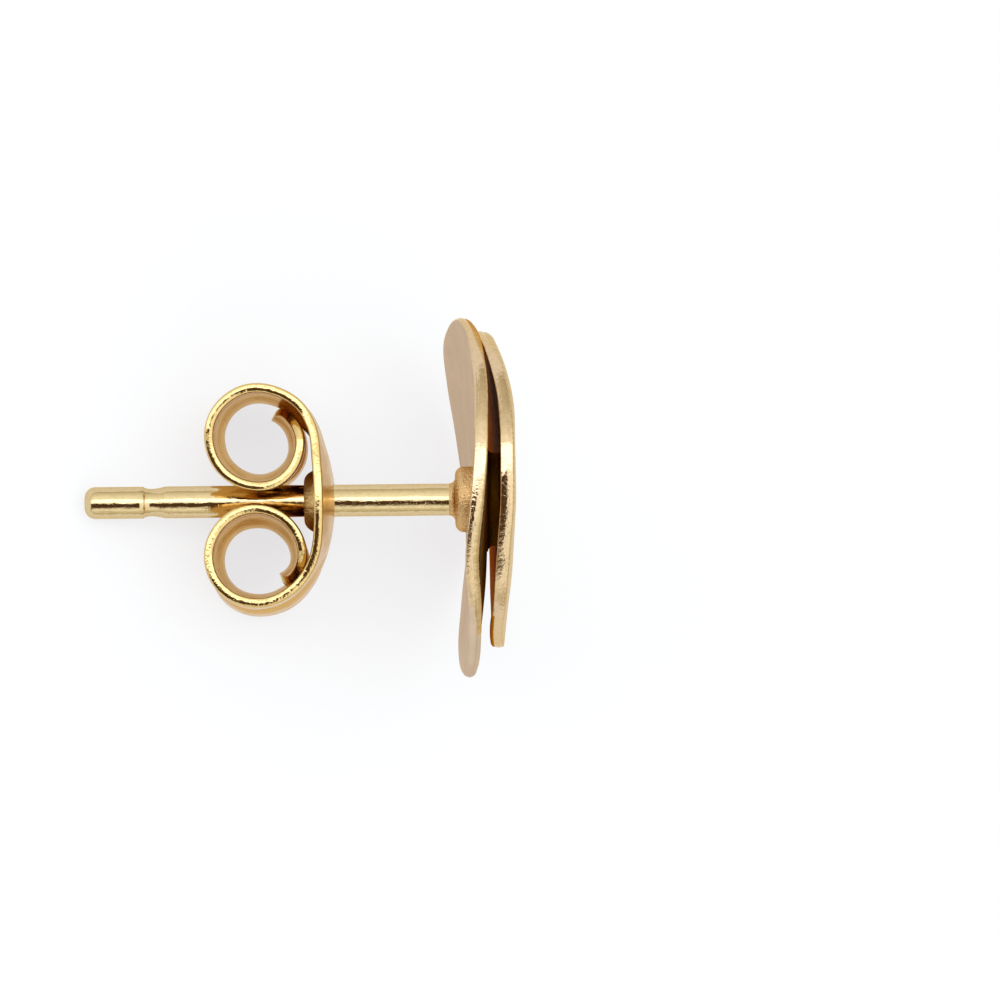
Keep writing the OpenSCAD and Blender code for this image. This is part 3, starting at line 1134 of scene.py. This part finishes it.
class EARRING_OT_disc_joint(StudPiece, bpy.types.Operator):
    """Builds the solder joint between the discs"""

    bl_idname = "earring.disc_joint"
    bl_label = "Solder joint"

    def build(self, sizes, finishes):
        radius = sizes.joint / MM / 2
        back = sizes.back_sheet / MM
        front = back + sizes.disc_space / MM
        fillet = 0.16
        outline = [
            (back - SUNK, radius + fillet),
            *arc(back + fillet, radius + fillet, fillet, 180, 270, 6),
            *arc(front - fillet, radius + fillet, fillet, 270, 360, 6),
            (front + SUNK, radius + fillet),
        ]
        points, faces = lathe(stretch(outline, JOINT_STEP), POST_SIDES, wobble=0.006)
        # The joint is painted darker still, as the shade deep between the discs.
        finish = satin_gold(
            "satin_gold_joint", shade_of(finishes.deep, 0.6), cut=1.0, sheen=(0.6, 0.7), depth=1.0
        )
        joint = new_piece("disc_joint", [place(*p) for p in points], faces, [finish])
        settle(joint, "stud", "stud")


class EARRING_OT_post(StudPiece, bpy.types.Operator):
    """Builds the ear post with its notch and solder pad"""

    bl_idname = "earring.post"
    bl_label = "Post"

    def build(self, sizes, finishes):
        wire = polished_gold(
            "polished_gold_wire", finishes.wire, wear=0.3, run=WIRE_SCRATCHES, filed=WIRE_DRAWN
        )
        pad = satin_gold("satin_gold_pad", finishes.pad, cut=2.6, sheen=(0.24, 0.36))
        settle(build_post(sizes, wire, pad), "stud", "stud")


class EARRING_OT_clutch(StudPiece, bpy.types.Operator):
    """Builds the butterfly clutch that slides on the post"""

    bl_idname = "earring.clutch"
    bl_label = "Butterfly clutch"

    def build(self, sizes, finishes):
        cut_edge = polished_gold(
            "polished_gold_edge",
            finishes.clutch,
            wear=0.7,
            run=EDGE_SCRATCHES,
            filed=STRIP_SHEARED,
        )
        sheet = rolled_gold("rolled_gold_sheet", finishes.sheet)
        # depth=2.0 turns the collar deep orange where it is seen along its surface, which paints the
        # reflection of the scrolls' gold and their shade on its top and foot.
        collar = satin_gold(
            "satin_gold_collar", finishes.collar, cut=3.0, sheen=(0.3, 0.42), depth=2.0
        )
        clutch = build_clutch(sizes, cut_edge, sheet, collar)
        settle(clutch, "clutch", "butterfly_clutch")


class EARRING_OT_stage(StudPiece, bpy.types.Operator):
    """Builds the pale floor, the soft lights and the camera"""

    bl_idname = "earring.stage"
    bl_label = "Stage"

    def build(self, sizes, finishes):
        build_floor(finishes.floor)
        build_sky()
        add_softbox(
            "key_softbox", angle=12.5, size=(1.1, 0.25), power=1.15, colour=(0.86, 0.95, 1.0)
        )
        add_softbox(
            "fill_softbox", angle=-55.0, size=(1.0, 0.12), power=0.06, colour=(0.95, 1.0, 1.0)
        )
        build_camera()
        bpy.context.scene.view_settings.view_transform = "Standard"


OPERATORS = (
    EARRING_OT_back_disc,
    EARRING_OT_front_disc,
    EARRING_OT_disc_joint,
    EARRING_OT_post,
    EARRING_OT_clutch,
    EARRING_OT_stage,
)


class EARRING_PT_pieces(bpy.types.Panel):
    """Lists the earring's pieces, sizes and colours in the sidebar"""

    bl_idname = "EARRING_PT_pieces"
    bl_label = "Stud earring"
    bl_space_type = "VIEW_3D"
    bl_region_type = "UI"
    bl_category = "Earring"

    def draw(self, context):
        for group in (context.scene.earring_sizes, context.scene.earring_finishes):
            column = self.layout.column()
            for name in type(group).__annotations__:
                column.prop(group, name)
        for operator in OPERATORS:
            self.layout.operator(operator.bl_idname)


CLASSES = (EarringSizes, EarringFinishes, *OPERATORS, EARRING_PT_pieces)


def register():
    for cls in CLASSES:
        bpy.utils.register_class(cls)
    bpy.types.Scene.earring_sizes = bpy.props.PointerProperty(type=EarringSizes)
    bpy.types.Scene.earring_finishes = bpy.props.PointerProperty(type=EarringFinishes)


def unregister():
    del bpy.types.Scene.earring_finishes
    del bpy.types.Scene.earring_sizes
    for cls in reversed(CLASSES):
        bpy.utils.unregister_class(cls)


def main():
    register()
    bpy.ops.earring.back_disc()
    bpy.ops.earring.front_disc()
    bpy.ops.earring.disc_joint()
    bpy.ops.earring.post()
    bpy.ops.earring.clutch()
    bpy.ops.earring.stage()
    bpy.context.view_layer.update()


if __name__ == "__main__":
    main()
